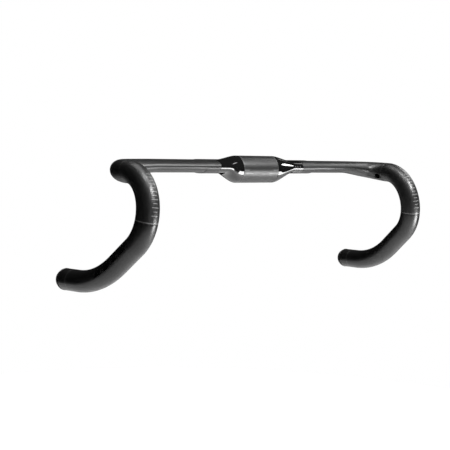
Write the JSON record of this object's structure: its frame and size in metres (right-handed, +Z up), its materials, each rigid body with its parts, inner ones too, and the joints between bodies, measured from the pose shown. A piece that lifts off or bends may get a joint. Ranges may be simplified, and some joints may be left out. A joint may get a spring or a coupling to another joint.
{
  "type": "drop handlebar",
  "caption": "Carbon drop handlebar with flattened tops, a gritty stem clamp band, flared hooks with lever grip coats, inner-corner cable ports and expanding end plugs.",
  "frame": {"origin": "middle of the stem clamp, on its axis", "axes": "+X along the clamp to the rider's left, -Y straight ahead, +Z up"},
  "size_m": [0.4474, 0.1524, 0.1524],
  "materials": {
    "satin_carbon": "satin clear coat over carbon laminate, glossy near the clamp",
    "raw_carbon": "bare laminate",
    "clamp_grit": "fine gritty coat with pale centring marks",
    "lever_grit": "fine gritty coat with pale index ticks",
    "port_rubber": "matt black rubber",
    "cap_plastic": "moulded plastic, slight sheen",
    "gasket_rubber": "matt black rubber",
    "expander_rubber": "dark grey rubber",
    "wedge_aluminium": "turned, plain",
    "screw_steel": "zinc plated"
  },
  "bodies": {
    "bar": {"centre_section": "satin_carbon", "clamp_grip_band": "clamp_grit", "left_drop": "satin_carbon", "left_joint_sleeve": "raw_carbon", "left_lever_grip_band": "lever_grit", "left_inlet_grommet": "port_rubber", "left_outlet_grommet": "port_rubber", "right_drop": "satin_carbon", "right_joint_sleeve": "raw_carbon", "right_lever_grip_band": "lever_grit", "right_inlet_grommet": "port_rubber", "right_outlet_grommet": "port_rubber"},
    "left_plug": {"left_end_cap": "cap_plastic", "left_cap_gasket": "gasket_rubber", "left_expander_sleeve": "expander_rubber"},
    "left_screw": {"left_expander_screw": "screw_steel"},
    "left_wedge": {"left_wedge_nut": "wedge_aluminium"},
    "right_plug": {"right_end_cap": "cap_plastic", "right_cap_gasket": "gasket_rubber", "right_expander_sleeve": "expander_rubber"},
    "right_screw": {"right_expander_screw": "screw_steel"},
    "right_wedge": {"right_wedge_nut": "wedge_aluminium"}
  },
  "joints": [
    {"name": "left_plug_pull", "type": "slide", "parent": "bar", "child": "left_plug", "axis": [0.0936, 0.9932, -0.0694], "range_m": [0, 0.03]},
    {"name": "left_screw_turn", "type": "hinge", "parent": "left_plug", "child": "left_screw", "pos_m": [0.21144, 0.05268, -0.12425], "axis": [0.0936, 0.9932, -0.0694], "range_deg": [0, 1440]},
    {"name": "left_wedge_travel", "type": "slide", "parent": "left_plug", "child": "left_wedge", "axis": [-0.0936, -0.9932, 0.0694], "range_m": [0, 0.0028]},
    {"name": "right_plug_pull", "type": "slide", "parent": "bar", "child": "right_plug", "axis": [-0.0936, 0.9932, -0.0694], "range_m": [0, 0.03]},
    {"name": "right_screw_turn", "type": "hinge", "parent": "right_plug", "child": "right_screw", "pos_m": [-0.21144, 0.05268, -0.12425], "axis": [-0.0936, 0.9932, -0.0694], "range_deg": [0, 1440]},
    {"name": "right_wedge_travel", "type": "slide", "parent": "right_plug", "child": "right_wedge", "axis": [0.0936, -0.9932, 0.0694], "range_m": [0, 0.0028]}
  ],
  "couplings": [
    {"joint": "left_screw_turn", "follows": "left_wedge_travel", "rad_per_m": 8976},
    {"joint": "right_screw_turn", "follows": "right_wedge_travel", "rad_per_m": 8976}
  ]
}
